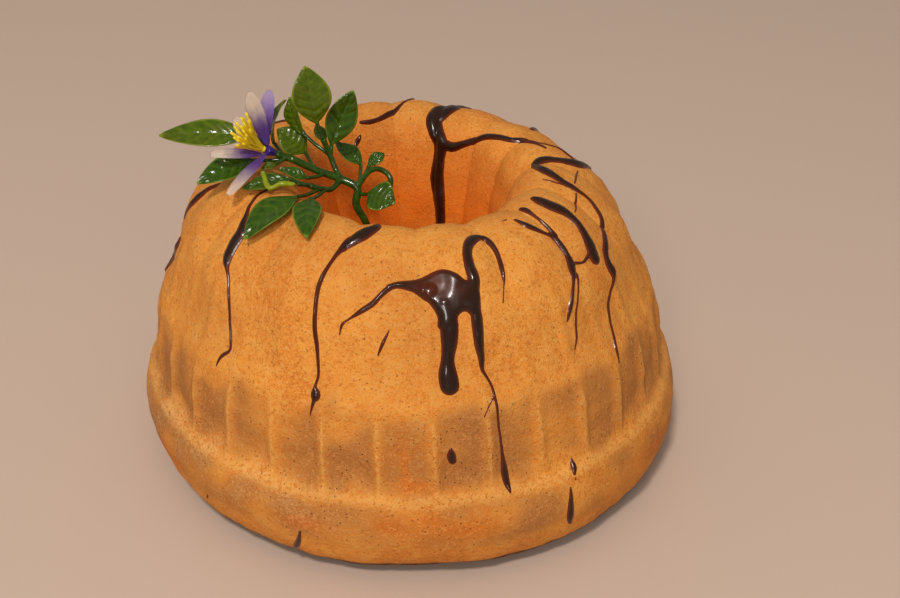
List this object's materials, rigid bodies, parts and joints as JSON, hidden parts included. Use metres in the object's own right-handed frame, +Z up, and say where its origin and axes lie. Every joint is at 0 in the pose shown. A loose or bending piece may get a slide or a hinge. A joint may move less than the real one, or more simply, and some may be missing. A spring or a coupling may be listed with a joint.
{
  "type": "bundt cake",
  "caption": "Uncut ring cake from a fluted tin, golden brown, with dark chocolate drizzled over it and an artificial sprig with one flower in its hole",
  "frame": {"origin": "centre of the base, on the surface the cake rests on", "axes": "+X towards the picture's right, +Y away from the camera, +Z up through the hole"},
  "size_m": [0.229, 0.229, 0.1686],
  "materials": {
    "crust": "baked crust, dry and finely speckled",
    "chocolate": "set dark chocolate, glossy",
    "leaf": "moulded foliage with pale edges, glossy",
    "stem": "moulded twig, satin",
    "petal": "thin translucent petal",
    "violet": "thin deep violet petal",
    "stamen": "fine threads, matt",
    "bud": "moulded bud, satin"
  },
  "bodies": {
    "root": {"cake": "crust", "stem": "stem", "leaf_a": "leaf", "leaf_b": "leaf", "leaf_c": "leaf", "leaf_d": "leaf", "leaf_e": "leaf", "leaf_f": "leaf", "leaf_g": "leaf", "leaf_h": "leaf", "leaf_i": "leaf", "leaf_j": "leaf", "leaf_k": "leaf", "leaf_l": "leaf", "leaf_m": "leaf", "leaf_n": "leaf", "leaf_o": "leaf", "sepal": "leaf", "bud": "bud", "flower_cup": "violet", "petal_up": "petal", "petal_right": "violet", "petal_back": "petal", "petal_left": "petal", "petal_down": "petal", "stamens": "stamen"}
  },
  "joints": []
}
